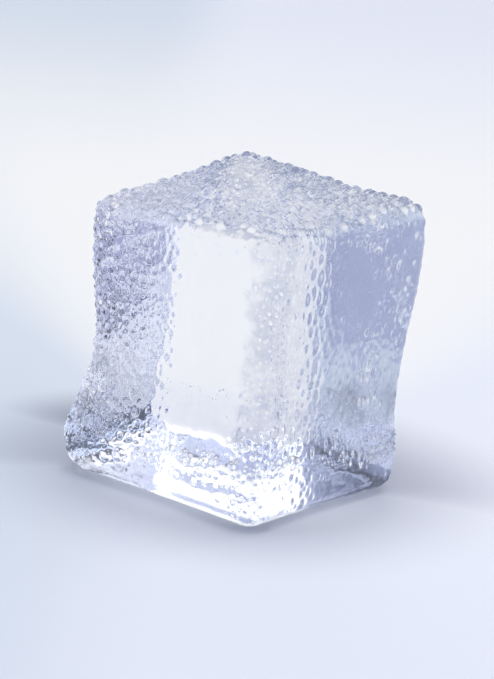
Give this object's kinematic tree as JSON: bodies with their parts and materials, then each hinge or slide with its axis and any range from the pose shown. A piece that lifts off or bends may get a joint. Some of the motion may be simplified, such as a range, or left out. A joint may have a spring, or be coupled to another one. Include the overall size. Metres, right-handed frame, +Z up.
{
  "type": "ice cube",
  "caption": "Clear machine-made ice cube, slightly melted and wet, standing on a flat underside, for drinks, bar and kitchen scenes.",
  "frame": {"origin": "middle of the footprint's bounding rectangle, on the flat underside", "axes": "+Z up along the tall way; side faces look along X and Y; the spread foot is at the -X, -Y corner and the top lifts towards -X, +Y"},
  "size_m": [0.0302, 0.0306, 0.0359],
  "materials": {
    "ice": "clear wet ice, faintly blue, with a pebbled melting skin of small water beads"
  },
  "bodies": {
    "root": {"ice_cube": "ice"}
  },
  "joints": []
}
